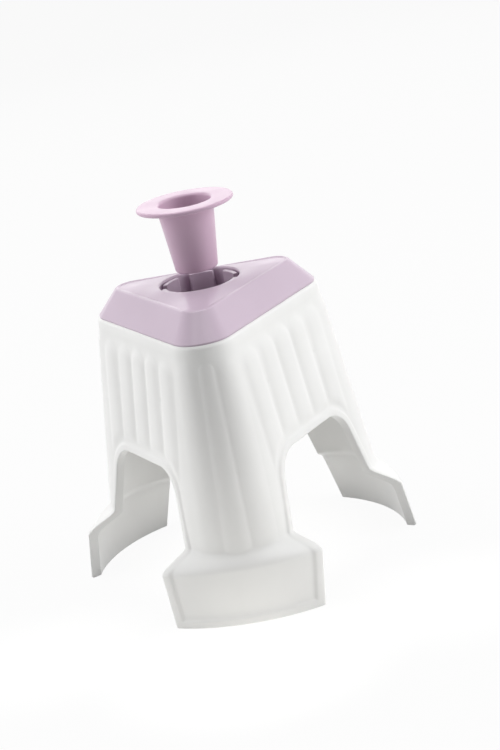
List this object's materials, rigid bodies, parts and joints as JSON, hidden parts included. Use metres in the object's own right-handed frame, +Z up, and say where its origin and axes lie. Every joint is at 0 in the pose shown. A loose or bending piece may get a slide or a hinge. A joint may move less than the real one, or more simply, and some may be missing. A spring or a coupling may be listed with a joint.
{
  "type": "olive scoring tool",
  "caption": "Three-legged stand with a feed hole, a throat ringed by fixed blades, and a brimmed thimble that pushes an olive down through them to score it.",
  "frame": {"origin": "on the table, straight below the middle of the throat", "axes": "+Z up along the throat and the pusher's travel, -Y towards the front leg, +X to the right of it"},
  "size_m": [0.1132, 0.1041, 0.1259],
  "materials": {
    "white_plastic": "moulded, semi-gloss",
    "lilac_plastic": "moulded, glossy",
    "mauve_plastic": "moulded, glossy",
    "blade_steel": "ground edge"
  },
  "bodies": {
    "stand_body": {"stand": "white_plastic", "cap": "lilac_plastic", "blade_carrier": "lilac_plastic", "blade_1": "blade_steel", "blade_2": "blade_steel", "blade_3": "blade_steel", "blade_4": "blade_steel", "blade_5": "blade_steel", "blade_6": "blade_steel", "blade_retainer": "white_plastic"},
    "pusher_body": {"pusher": "mauve_plastic"}
  },
  "joints": [
    {"name": "pusher_slide", "type": "slide", "parent": "stand_body", "child": "pusher_body", "axis": [0, 0, 1], "range_m": [-0.025, 0.025]}
  ]
}
